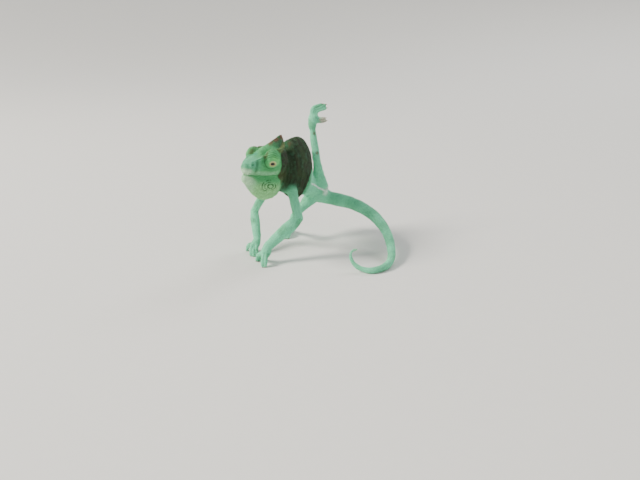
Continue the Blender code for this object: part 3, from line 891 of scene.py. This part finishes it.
def cone_piece(name, cones, bake_map):
    """Small horn-like scales in a row: each a curved cone, from its root to its tip."""
    sides, rings = 8, 5
    points, faces, flat = [], [], []
    for root, tip, radius, along in cones:
        axis = tip - root
        normal = axis.normalized()
        lengthways = (along - normal * along.dot(normal)).normalized()
        across = normal.cross(lengthways)
        start = len(points)
        for ring in range(rings):
            t = ring / rings
            width = radius * (1 - t**1.5)
            # it starts below the skin and bends back towards its tip
            middle = root + axis * (t * 1.12 - 0.12) + lengthways * radius * 0.5 * t * t
            for x, y in circle(sides):
                points.append(middle + lengthways * x * width + across * y * width * 0.8)
                flat.append((x * (1 - t), y * (1 - t)))
        faces += tube_faces(start, sides, rings) + cap_faces(len(points) - sides, sides, len(points))
        points.append(tip + lengthways * radius * 0.5)
        flat.append((0, 0))
    roots = np.array([cone[0][:] for cone in cones])
    each = sides * rings + 1
    patches = np.repeat(bake_map.centres(roots), each, axis=0) + np.array(flat) * BAKE_PATCH / 2
    mesh = new_mesh(name, np.array([point[:] for point in points]), np.array(faces), patches)
    # the crown carries the painted shade: darkest at a cone's root, lightest at its tip
    set_values(mesh, "crown", np.tile(np.r_[np.repeat(np.arange(rings) / rings, sides), 1.0], len(cones)))
    paint(mesh, roots, each)
    add_piece(name, mesh, "crest_scale_keratin")


def grow_crests(surface, bake_map):
    """Rows of cones along the back, the throat, the belly and the casque."""
    back = spaced(midline(surface, spine_frames(TRUNK, 24)[20:] + spine_frames(TAIL, 14)[14:100]), 0.82)
    cones = []
    for i, (hit, along) in enumerate(back):
        length = 0.42 * (1 - 0.6 * i / len(back)) * (1.15 if i % 2 else 0.85)
        cones.append(cone_on(surface, hit, length, 0.27, along))
    cone_piece("crest_back", cones, bake_map)
    cones = []
    for n, y in enumerate(np.arange(-8.4, 12.2, 0.66)):
        hit = surface.cast_in_head((0, y, -26), (0, 0, 1))
        length = (0.34 + 0.42 * bell(y, 1, 5.5)) * (1.0 if n % 2 else 0.8)
        if hit:
            cones.append(cone_on(surface, hit, length, 0.27, HEAD_TURN @ Vector((0, 1, 0))))
    cone_piece("crest_throat", cones, bake_map)
    cones = [cone_on(surface, hit, 0.26, 0.24, along) for hit, along in spaced(belly_line(surface), 0.62)]
    cone_piece("crest_belly", cones, bake_map)
    cones = []
    for n, y in enumerate(np.arange(-1.2, 10.4, 0.68)):
        hit = surface.cast_in_head((0, y, 22), (0, 0, -1))
        if hit:
            cones.append(cone_on(surface, hit, 0.24 + 0.01 * n, 0.3, HEAD_TURN @ Vector((0, 1, 0.4))))
    cone_piece("crest_casque", cones, bake_map)


# ---- markings, with painted shade and highlights among them ----
def markings(points):
    """How strongly each colour of the markings and of the painted shade and highlights shows at each place, 0
    to 1.
    """
    at = Places(points)
    _, back, up = at.head.T
    trunk, tail = at.share["trunk"], at.share["tail"]
    rough, fine = noise(points, 2.6, 31), noise(points, 0.9, 32)
    to_edge = past_dark_edge(points) + 0.5 * rough
    soft = 0.9 + 3.0 * ramp(-7, -12, points[:, 0] + CENTRE[0])
    dark = trunk * ramp(1, -1, to_edge / soft)
    for leg, sleeve in (("left_front", 5.0), ("right_front", 9.0)):
        dark = dark + at.share[leg] * ramp(sleeve, 0.6, at.way[leg] + 0.6 * rough)
    cool = 0.5 + 0.5 * np.sin(at.way["trunk"] * TURN / 10.5 + 0.7 * rough)
    # painted shade: darker green on the upper front legs, and in the groin just behind the dark back's edge
    upper_arm_shade = sum(at.share[leg] * ramp(13, 6, at.way[leg]) for leg in ("left_front", "right_front"))
    groin_shade = trunk * bell(to_edge, 1.0, 2.0)
    blotches = at.legs * ramp(0.2, 1.3, noise(points, 3.2, 34))
    bands = 0.5 + 0.5 * np.sin(at.way["tail"] * TURN / 11 + 0.5 * rough)
    belly = line_mask(points, BELLY_LINE, 0.42) * ramp(8.4, 9.8, points[:, 1] + CENTRE[1])
    nape = ramp(8.4, 10.6, back + 0.6 * rough) * ramp(-11.5, -8.5, up)
    masks = head_markings(at, rough, fine, nape) | {
        "olive": np.clip(dark + at.share["head"] * nape, 0, 1),
        "umber": dark * ramp(0.4, 1.3, rough + 0.4 * fine) * 0.45,
        "flank_band": dark * ramp(0.6, 0.95, cool) * 0.35,
        "flank_dusk": dark * ramp(33, 26, points[:, 2]) * ramp(-0.4, 0.7, rough) * 0.5,
        # the legs' own darker blotches, together with painted shade on the upper front legs and in the groin
        "leg_blotches_and_painted_shade": np.max((blotches * 0.5, upper_arm_shade * 0.3, groin_shade * 0.7), axis=0),
        "tail_band": tail * bands * 0.4,
        "milk": np.maximum(belly, ball_mask(points, place(-0.4, 22.6, 21.8), 2.2) * 0.8),
        "blush": ball_mask(points, place(-2.6, 24.5, 53.8), 2.2) * 0.8,
        "cream": tail * ramp(84, 96, at.way["tail"]),
    }
    _, knee, ankle, _ = LEGS["left_hind"]
    for t in (0.12, 0.8):
        spot = ball_mask(points, place(*knee).lerp(place(*ankle), t) + Vector((1.3, -1.0, 0)), 0.8)
        masks["rust"] = np.maximum(masks["rust"], spot * 0.6)
    return masks


def head_markings(at, rough, fine, nape):
    side, back, up = at.head.T
    head = at.share["head"]
    above_lip = up - lip_height(back)
    flank = ramp(2.2, 3.6, np.abs(side))
    side_on = np.maximum(flank, nape)
    height, edge = np.array(TEMPLE_EDGE).T
    behind = head * ramp(-0.7, 1.0, back - np.interp(up, height, edge) + 0.6 * rough)
    ridge = bell(side, 0.3, 0.8) * ramp(3.6, 5.2, up) * ramp(0.6, 1.8, back)
    lip = ramp(0.0, 0.4, above_lip) * ramp(2.4, 1.2, above_lip + 0.25 * rough)
    snout_tip = ramp(-8.2, -9.8, back) * ramp(-4.6, -6.2, up) * ramp(-0.3, 0.2, above_lip)
    chin = ramp(0.2, -0.8, above_lip) * ramp(-5.0, -10.5, back + 0.35 * (up + 9) + 0.6 * rough)
    speckles = []
    for mirror in SIDES.values():
        oval = lengths((at.head - np.array((mirror * 4.0, 1.6, -11.0))) / np.array((3.4, 5.2, 2.6)))
        arcs = ramp(0.0, 0.6, np.sin(oval * TURN / 0.27 + 1.2 * rough) + 0.3 * fine)
        speckles.append(head * arcs * ramp(-0.9, 0.1, noise(at.points, 1.5, 35)) * ramp(1.2, 0.8, oval))
    return eye_markings(at, flank) | {
        "leaf_green": head * (1 - 0.85 * nape),
        "muzzle": head * (ramp(-3, -8, back) * ramp(-7.5, -3.5, up)) * 0.7,
        "casque_green": head * ramp(2.0, 4.5, up - 0.1 * back) * ramp(1, 6, back),
        "temple": behind * ramp(4.8, 3.4, up) * ramp(-9.0, -6.5, up) * side_on,
        "cheek": behind * ramp(-3.0, -6.5, up) * ramp(-13.5, -11.5, up) * side_on * 0.9,
        "rust": head * ridge * ramp(-0.9, 0.1, noise(at.points, 1.6, 33)) * 0.85,
        "teal": head * ball_mask(at.head, (-1.4, -4.2, 0.8), 1.5, 0.8) * 0.8,
        "lip": lip * head * ramp(8, 2, back) * 0.65,
        "chin": head * np.maximum(chin * 0.75, snout_tip * 0.8),
        "throat": head * (1 - nape) * ramp(-8.5, -12.0, up) * ramp(-8, -4, back),
        "speckle": np.max(speckles, axis=0),
    }


def eye_markings(at, flank):
    """Colours of the turrets with a painted highlight on their upper rear, their rims, painted shade in their
    folds and in the snout's creases, and the ridges round them.
    """
    _, back, up = at.head.T
    head = at.share["head"]
    brows = [line_mask(at.head, line, 1.1) for line in on_both_sides(BROW[2:])]
    # painted shade: darkening along the snout's creases, fold lines on the turrets' fronts, the orbit's
    # crease and the troughs of its folds
    painted_crease_shade = [0.5 * line_mask(at.head, line, 0.8) for line in on_both_sides(SNOUT_CREASE)]
    dome_highlights, rims = [], []
    for name in SIDES:
        wide, angle, shell = round_the_eye(at, name)
        dome_highlights.append(ramp(1.2, 1.02, shell) * ramp(1.5, 0.9, angle))
        rims.append(ramp(LID_OPENING + 0.6, LID_OPENING + 0.25, wide))
        brows.append(bell(shell, 1.2, 0.1) * ramp(1.0, 2.6, up) * flank)
        on_turret = ramp(1.1, 1.0, shell) * ramp(0.8, 1.0, angle) * ramp(0.5, -1.5, back)
        painted_crease_shade.append(0.6 * on_turret * ramp(0.0, 0.7, np.cos((angle - 1.0) * TURN / 0.26)))
        painted_crease_shade.append(0.8 * bell(shell, ORBIT_CREASE, 0.06) * flank)
        outer = ramp(1.14, 1.2, shell) * ramp(1.6, 1.35, shell) * ramp(3.0, 0.0, back)
        folds = np.cos((shell - ORBIT_FOLDS) * TURN / ORBIT_FOLD_STEP)
        painted_crease_shade.append(0.5 * outer * ramp(0.1, -0.7, folds))
    return {
        # turret: a painted highlight on the upper rear of each eye turret, as if lit from above
        "turret": head * np.max(dome_highlights, axis=0) * ramp(-4.5, -1.0, up) * ramp(-3.6, -1.8, back),
        "lid": np.max(rims, axis=0),
        # crease: painted shade in the creases and folds of the snout and round the eyes
        "crease": head * np.max(painted_crease_shade, axis=0),
        "brow": head * np.max(brows, axis=0) * 0.75,
    }


def paint(mesh, roots, each=1):
    """Stores the markings on a mesh whose points come in runs of one root each."""
    for name, values in markings(roots).items():
        set_values(mesh, name, np.repeat(values, each))
    if each > 1:
        set_values(mesh, "tint", np.repeat(RNG.random(len(roots)), each))


# ---- finishes ----
def linear(hex_colour):
    """Linear RGBA of an sRGB hex colour."""
    made = []
    for i in (0, 2, 4):
        c = int(hex_colour[i : i + 2], 16) / 255
        made.append(c / 12.92 if c <= 0.04045 else ((c + 0.055) / 1.055) ** 2.4)
    return (*made, 1.0)


def feed(node, inputs):
    """Gives a node its inputs, as links or values."""
    for key, value in inputs.items():
        if isinstance(value, bpy.types.NodeSocket):
            node.id_data.links.new(value, node.inputs[key])
        else:
            node.inputs[key].default_value = value


def add(tree, kind, inputs, out=0, **settings):
    """Adds a shader node with its inputs and settings, and gives one of its outputs."""
    made = tree.nodes.new("ShaderNode" + kind)
    for key, value in settings.items():
        setattr(made, key, value)
    feed(made, inputs)
    return made.outputs[out]


def material(name):
    made = bpy.data.materials.new(name)
    made.use_nodes = True
    return made.node_tree, made.node_tree.nodes["Principled BSDF"]


# The markings and painted shade and highlights in the order they lie on each other: colour, how far noise
# breaks them up, its grain in mm.
LAYERS = (
    # darker green of the legs' own blotches, together with painted shade on the upper front legs and in the
    # groin
    ("leg_blotches_and_painted_shade", "489A66", 0.5, 1.4),
    ("tail_band", "50A878", 0.5, 1.2),
    ("olive", "1D3218", 0.2, 1.6),
    ("flank_band", "3D5630", 0.5, 1.2),
    ("flank_dusk", "424B35", 0.5, 1.2),
    ("umber", "2F2D1B", 0.6, 1.0),
    ("leaf_green", "54B26E", 0.1, 1.2),
    ("muzzle", "66BC98", 0.3, 1.0),
    ("casque_green", "326642", 0.4, 1.1),
    ("teal", "3F9E7C", 0.3, 0.9),
    ("throat", "8CCE8A", 0.3, 0.9),
    ("temple", "252D1A", 0.3, 1.2),
    ("cheek", "434E2B", 0.4, 1.2),
    ("brow", "5A6238", 0.4, 0.9),
    ("lip", "92D0A0", 0.3, 0.8),
    ("chin", "C8F0C6", 0.2, 0.9),
    # turret: a painted highlight on the upper rear of each eye turret, as if lit from above
    ("turret", "6ED47C", 0.1, 0.9),
    ("speckle", "2C5530", 0.4, 0.7),
    ("rust", "74493A", 0.5, 0.7),
    # crease: painted shade in the creases and folds of the snout and round the eyes
    ("crease", "274A2C", 0.1, 0.9),
    ("lid", "C4C88C", 0.1, 0.5),
    ("milk", "DDF2E6", 0.2, 0.9),
    ("blush", "C2AEA2", 0.3, 0.9),
    ("cream", "CBD2B6", 0.2, 0.9),
)
BASE_MINT = "7ADEB0"


def markings_group():
    """The animal's colours, with painted shade and highlights among them, shared by the skin and its scales.
    """
    tree = bpy.data.node_groups.new("chameleon_markings", "ShaderNodeTree")
    tree.interface.new_socket("Color", in_out="OUTPUT", socket_type="NodeSocketColor")
    space = add(tree, "TexCoord", {}, "Object")
    colour = linear(BASE_MINT)
    for name, hex_colour, breakup, grain in LAYERS:
        mask = add(tree, "Attribute", {}, "Fac", attribute_name=name)
        # the grain is in mm; the noise's scale counts lumps to the metre
        lumps = add(tree, "TexNoise", {"Vector": space, "Scale": 1000 / grain, "Detail": 3.0})
        centred = add(tree, "Math", {0: lumps, 1: 0.5}, operation="SUBTRACT")
        uneven = add(tree, "Math", {0: centred, 1: 2.4 * breakup, 2: 1.0}, operation="MULTIPLY_ADD")
        factor = add(tree, "Math", {0: mask, 1: uneven}, operation="MULTIPLY", use_clamp=True)
        colour = add(tree, "Mix", {0: factor, 6: colour, 7: linear(hex_colour)}, 2, data_type="RGBA")
    feed(tree.nodes.new("NodeGroupOutput"), {0: colour})
    return tree


def hide_material(name, group, groove_shade, tinted, roughness, bump_mm, bump_depth):
    """Reptile hide in the markings' colours, with painted shade where it lies deep and a slight painted
    highlight on the crowns, and a fine grain of its own.
    """
    tree, shader = material(name)
    colour = add(tree, "Group", {}, node_tree=group)
    # painted shade and highlight: colour darkest where the crown is 0, at scale rims and on the bare skin,
    # and a little lighter than the markings at the crown
    crown = add(tree, "Attribute", {}, "Fac", attribute_name="crown")
    depth = add(tree, "MapRange", {"Value": crown, "To Min": groove_shade, "To Max": 1.08})
    if tinted:
        tint = add(tree, "Attribute", {}, "Fac", attribute_name="tint")
        spread = add(tree, "MapRange", {"Value": tint, "To Min": 0.84, "To Max": 1.16})
        depth = add(tree, "Math", {0: depth, 1: spread}, operation="MULTIPLY")
    space = add(tree, "TexCoord", {}, "Object")
    grain = add(tree, "TexNoise", {"Vector": space, "Scale": 1000 / bump_mm, "Detail": 4.0})
    finish = {
        "Base Color": add(tree, "VectorMath", {0: colour, "Scale": depth}, operation="SCALE"),
        "Normal": add(tree, "Bump", {"Height": grain, "Strength": 0.35, "Distance": bump_depth * MM}),
        "Roughness": add(
            tree, "MapRange", {"Value": grain, "To Min": roughness - 0.08, "To Max": roughness + 0.10}
        ),
        "IOR": 1.45,
        "Specular IOR Level": 0.25,
        "Subsurface Weight": 0.12,
        "Subsurface Radius": (0.6, 1.0, 0.5),
        "Subsurface Scale": 0.0006,
    }
    feed(shader, finish)


def plain_material(name, hex_colour, mottle, grain_mm, roughness, coat):
    """A finish of one colour, mottled towards a second one."""
    tree, shader = material(name)
    space = add(tree, "TexCoord", {}, "Object")
    lumps = add(tree, "TexNoise", {"Vector": space, "Scale": 1000 / grain_mm, "Detail": 3.0})
    colour = add(tree, "Mix", {0: lumps, 6: linear(hex_colour), 7: linear(mottle)}, 2, data_type="RGBA")
    feed(shader, {"Base Color": colour, "Roughness": roughness, "Coat Weight": coat, "Coat Roughness": 0.04})


def make_finishes():
    group = markings_group()
    # living reptile hide between the scales: soft and matt, with painted shade that makes it darker than they
    # are
    hide_material("reptile_hide", group, 0.62, False, 0.62, 0.16, 0.05)
    # keratin scales: matt domes with painted shade at their rims and a slight painted highlight on their
    # crowns
    hide_material("granular_scale_keratin", group, 0.66, True, 0.50, 0.10, 0.02)
    # thicker keratin of the crest cones, a little shinier, with painted shade at their roots
    hide_material("crest_scale_keratin", group, 0.80, True, 0.42, 0.10, 0.02)
    # horn of the claws: translucent pale brown with a wet look
    plain_material("claw_horn", "B9AE8C", "8A7A58", 0.5, 0.34, 0.25)
    # wet eye: a gold iris round a black pupil under a clear tear film
    plain_material("pupil_black", "020202", "020202", 0.3, 0.5, 0.12)
    plain_material("iris_gold", "D8C878", "B4A052", 0.12, 0.22, 1.0)
    plain_material("eye_rim", "2F3A22", "46522F", 0.2, 0.3, 0.8)
    # seamless paper sweep
    plain_material("studio_paper", "DEDDD9", "DBDAD6", 4.0, 0.9, 0.0)


# ---- eyes and claws ----
def make_eyes():
    """A ball behind each pair of fused lids: pupil, iris ring and dark surround, each its own finish."""
    sides, rings = 64, eye_rings()
    last = 1 + len(rings) * sides
    faces = cap_faces(1, sides, 0) + tube_faces(1, sides, len(rings)) + cap_faces(last - sides, sides, last)
    finish = [slot for _, _, slot in rings]
    finish = np.repeat([0, *finish[1:], 2], [sides] + [2 * sides] * (len(rings) - 1) + [sides])
    for name, side in SIDES.items():
        gaze = Vector(GAZES[name]).normalized()
        reach = 1 / math.sqrt(sum((g / axis) ** 2 for g, axis in zip(gaze, TURRET)))
        centre = Vector((side * EYE_SPAN / 2, 0, 0)) + gaze * (reach - BALL_DEPTH)
        points = [gaze * (EYE_RADIUS - 0.03)]
        for polar, radius, _ in rings:
            points += [off_axis(gaze, polar, TURN * k / sides) * radius for k in range(sides)]
        points.append(-gaze * EYE_RADIUS)
        rows = np.array([(HEAD @ (centre + point))[:] for point in points])
        mesh = new_mesh(f"{name}_eye", rows, np.array(faces))
        for finish_name in ("pupil_black", "iris_gold", "eye_rim"):
            mesh.materials.append(bpy.data.materials[finish_name])
        mesh.polygons.foreach_set("material_index", finish.astype(np.int32))
        tidy_normals(mesh)
        eye = new_object(f"{name}_eye", mesh)
        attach(eye, "root")
        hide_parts(f"{name}_eyeball")


def tidy_normals(mesh):
    bm = bmesh.new()
    bm.from_mesh(mesh)
    bmesh.ops.recalc_face_normals(bm, faces=bm.faces)
    bm.to_mesh(mesh)
    bm.free()


def eye_rings():
    """Rings of the eye's ball from front to back: angle from the gaze, radius, and finish."""
    bounds = (0.0, math.asin(PUPIL / EYE_RADIUS), math.asin(IRIS / EYE_RADIUS), math.pi)
    rings = []
    for slot, (low, high, count) in enumerate(zip(bounds, bounds[1:], (8, 8, 20))):
        for step in range(1, count + 1):
            # the pupil is a flat well, the iris a low ring round it
            rise = (-0.04, 0.03 * math.sin(math.pi * step / count), 0)[slot]
            rings.append((low + (high - low) * step / count, EYE_RADIUS + rise, slot))
    return rings[:-1]


def make_claws():
    """A curved claw of horn on every digit, one piece to a foot."""
    sides, rings = 12, 9
    for leg in LEGS:
        points, faces = [], []
        for *_, end, point, bow in [digit for digit in digits() if digit[0] == leg]:
            axis = point - end
            across = axis.cross(bow).normalized()
            rise = across.cross(axis).normalized()
            start = len(points)
            for ring in range(rings):
                t = ring / (rings - 1)
                # it starts inside the toe and arches over to its point
                middle = end + axis * (t * 1.35 - 0.35) + rise * (0.16 * math.sin(math.pi * t))
                radius = 0.40 * (1 - t) ** 0.75 + 0.03
                for x, y in circle(sides):
                    points.append(middle + across * x * radius * 0.72 + rise * y * radius)
            last = len(points)
            points += [end - axis * 0.4, point]
            faces += tube_faces(start, sides, rings)
            faces += cap_faces(start, sides, last) + cap_faces(last - sides, sides, last + 1)
        rows = np.array([point[:] for point in points])
        rows[:, 2] = np.maximum(rows[:, 2], 0.0)
        mesh = new_mesh(f"{leg}_claws", rows, np.array(faces))
        tidy_normals(mesh)
        add_piece(f"{leg}_claws", mesh, "claw_horn")


# ---- stage ----
LIT = (0, 0, 0.03)  # what the lights look at, in metres


def make_stage():
    """Seamless paper: flat under the animal, then curving up all round."""
    flat, reach, top, sides, steps = 500, 2600, 1500, 96, 24
    rings = [(flat / 2, 0)] + [(flat + (reach - flat) * t, top * t**3) for t in np.arange(steps + 1) / steps]
    rows = [(0, 0, 0)]
    for radius, height in rings:
        rows += [(radius * x, radius * y, height) for x, y in circle(sides)]
    faces = cap_faces(1, sides, 0) + tube_faces(1, sides, len(rings))
    mesh = new_mesh("floor", np.array(rows), np.array(faces))
    tidy_normals(mesh)
    mesh.materials.append(bpy.data.materials["studio_paper"])
    new_object("floor", mesh)


def add_light(name, where, size, power, hex_colour):
    """A round soft light that looks at the animal."""
    data = bpy.data.lights.new(name, "AREA")
    data.shape = "DISK"
    data.size = size
    data.energy = power
    data.color = linear(hex_colour)[:3]
    light = new_object(name, data)
    light.location = where
    light.rotation_euler = (Vector(LIT) - Vector(where)).to_track_quat("-Z", "Y").to_euler()
    light.visible_camera = False


def make_lights():
    add_light("key", (-0.95, -0.75, 1.0), 0.55, 44.0, "FFF8EE")
    add_light("fill", (1.1, -0.8, 0.8), 0.9, 4.5, "EEF4FF")
    add_light("rim", (0.2, 1.1, 0.9), 0.6, 8.0, "FFFFFF")
    world = bpy.data.worlds.new("studio")
    world.use_nodes = True
    background = world.node_tree.nodes["Background"]
    background.inputs["Color"].default_value = linear("E4E8EA")
    background.inputs["Strength"].default_value = 0.62
    bpy.context.scene.world = world


def make_camera():
    data = bpy.data.cameras.new("camera")
    data.sensor_width = 36.0
    data.lens = 38.59
    data.clip_start = 0.01
    data.clip_end = 20.0
    camera = new_object("camera", data)
    camera.location = (0.11829, -0.25519, 0.0950)
    camera.rotation_euler = (math.radians(72.5), 0, math.radians(25.0))
    bpy.context.scene.camera = camera


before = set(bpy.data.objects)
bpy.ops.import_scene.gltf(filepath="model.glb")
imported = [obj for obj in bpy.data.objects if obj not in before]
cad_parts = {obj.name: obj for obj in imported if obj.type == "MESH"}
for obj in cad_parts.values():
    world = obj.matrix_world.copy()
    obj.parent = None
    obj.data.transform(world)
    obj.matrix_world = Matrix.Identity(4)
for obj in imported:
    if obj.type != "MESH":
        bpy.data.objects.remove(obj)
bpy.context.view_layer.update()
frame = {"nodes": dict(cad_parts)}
make_finishes()
make_camera()
make_lights()
make_stage()
skin = make_skin(frame)
surface = Surface(skin)
BELLY_LINE = [hit for hit, _ in belly_line(surface)]
paint(skin.data, surface.points)
# a crown of 0 gives the bare skin the darkest painted shade, as deep between the scales
set_values(skin.data, "crown", np.zeros(len(surface.points)))
bake_map = BakeMap(skin)
grow_scales(surface, bake_map)
grow_crests(surface, bake_map)
make_eyes()
make_claws()
